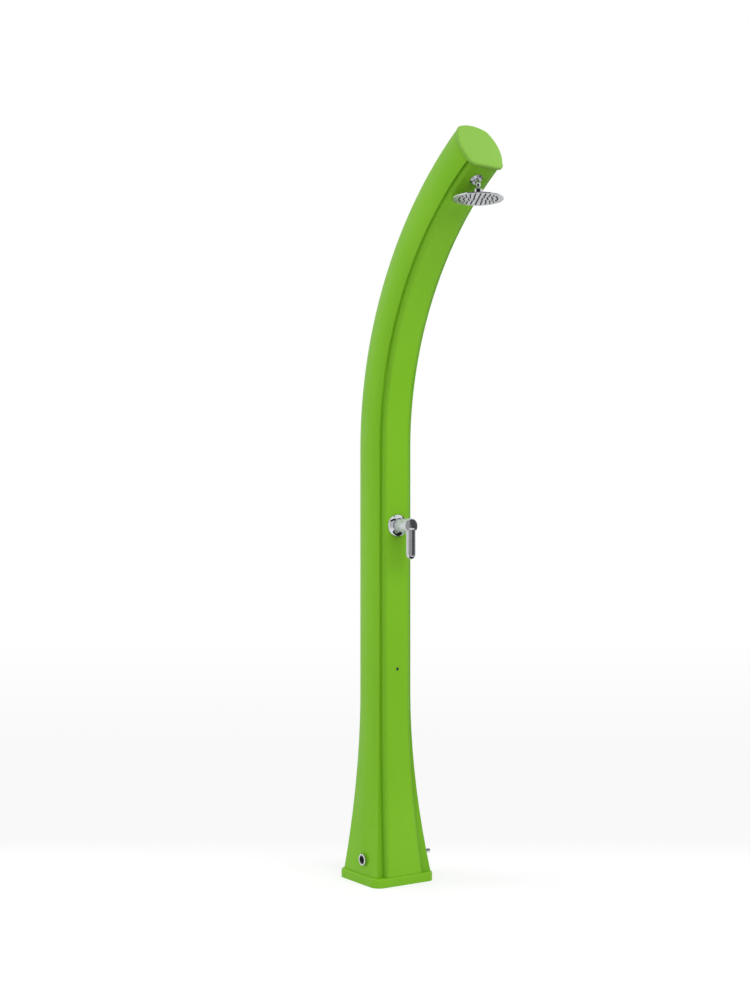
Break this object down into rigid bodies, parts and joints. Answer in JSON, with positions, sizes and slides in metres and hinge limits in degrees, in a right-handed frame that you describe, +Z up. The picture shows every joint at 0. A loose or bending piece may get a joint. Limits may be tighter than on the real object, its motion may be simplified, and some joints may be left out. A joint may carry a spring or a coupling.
{
  "type": "outdoor shower post",
  "caption": "Hollow curved column on a flared foot, with a lever mixer, an overhead rain head on a ball joint, side water inlets and inner pipework.",
  "frame": {"origin": "middle of the foot on the ground", "axes": "+Z up; the column curves towards -Y, where the user stands; +X along the inlet with the hose nipple"},
  "size_m": [0.256, 0.641, 2.202],
  "materials": {
    "green_plastic": "satin moulded, ultraviolet stable",
    "chrome": "polished",
    "brass": "machined",
    "steel": "stainless, brushed",
    "rubber": "matte",
    "hose": "crosslinked polymer tube",
    "white_plastic": "moulded",
    "dark_cap": "gloss",
    "nozzle_rubber": "matte silicone"
  },
  "bodies": {
    "post": {"post_shell": "green_plastic", "foot_flange": "green_plastic", "end_cap": "green_plastic", "blanking_plug": "dark_cap", "cap_seal": "rubber", "base_plate": "steel", "lock_screws": "steel", "foot_bolts": "steel", "floor_inserts": "brass", "inlet_socket_left": "chrome", "inlet_socket_right": "chrome", "inlet_gaskets": "rubber", "inlet_locknuts": "brass", "nipple_seal": "rubber", "hose_nipple": "chrome", "feed_manifold": "brass", "fill_valve": "white_plastic", "cold_hose": "hose", "hot_hose": "hose", "riser_hose": "hose", "hose_nuts": "brass", "mixer_body": "brass", "mixer_gasket": "rubber", "mixer_locknut": "brass", "escutcheon": "chrome", "mixer_sleeve": "chrome", "cartridge_body": "white_plastic", "cartridge_nut": "brass", "shower_arm": "chrome", "arm_gasket": "rubber", "arm_locknut": "brass", "shower_rosette": "chrome"},
    "lever_turn": {"cartridge_carrier": "white_plastic", "pivot_pin": "steel"},
    "lever": {"cartridge_spindle": "brass", "lever_handle": "chrome", "lever_grub_screw": "steel", "lever_cap": "dark_cap"},
    "ball_tilt": {"ball_seal": "rubber"},
    "ball_sway": {"ball_collar": "chrome"},
    "head": {"head_back": "chrome", "head_face_plate": "steel", "nozzle_mat": "nozzle_rubber"}
  },
  "joints": [
    {"name": "lever_turn", "type": "hinge", "parent": "post", "child": "lever_turn", "pos_m": [0, -0.093, 1.083], "axis": [0, 1, 0], "range_deg": [-50, 50]},
    {"name": "lever_lift", "type": "hinge", "parent": "lever_turn", "child": "lever", "pos_m": [0, -0.093, 1.083], "axis": [-1, 0, 0], "range_deg": [0, 20]},
    {"name": "head_tilt", "type": "hinge", "parent": "post", "child": "ball_tilt", "pos_m": [0, -0.45948, 2.0118], "axis": [1, 0, 0], "range_deg": [-20, 3]},
    {"name": "head_sway", "type": "hinge", "parent": "ball_tilt", "child": "ball_sway", "pos_m": [0, -0.45948, 2.0118], "axis": [0, 1, 0], "range_deg": [-12, 12]},
    {"name": "head_spin", "type": "hinge", "parent": "ball_sway", "child": "head", "pos_m": [0, -0.45948, 2.0118], "axis": [0, 0, 1], "range_deg": [-180, 180]}
  ]
}
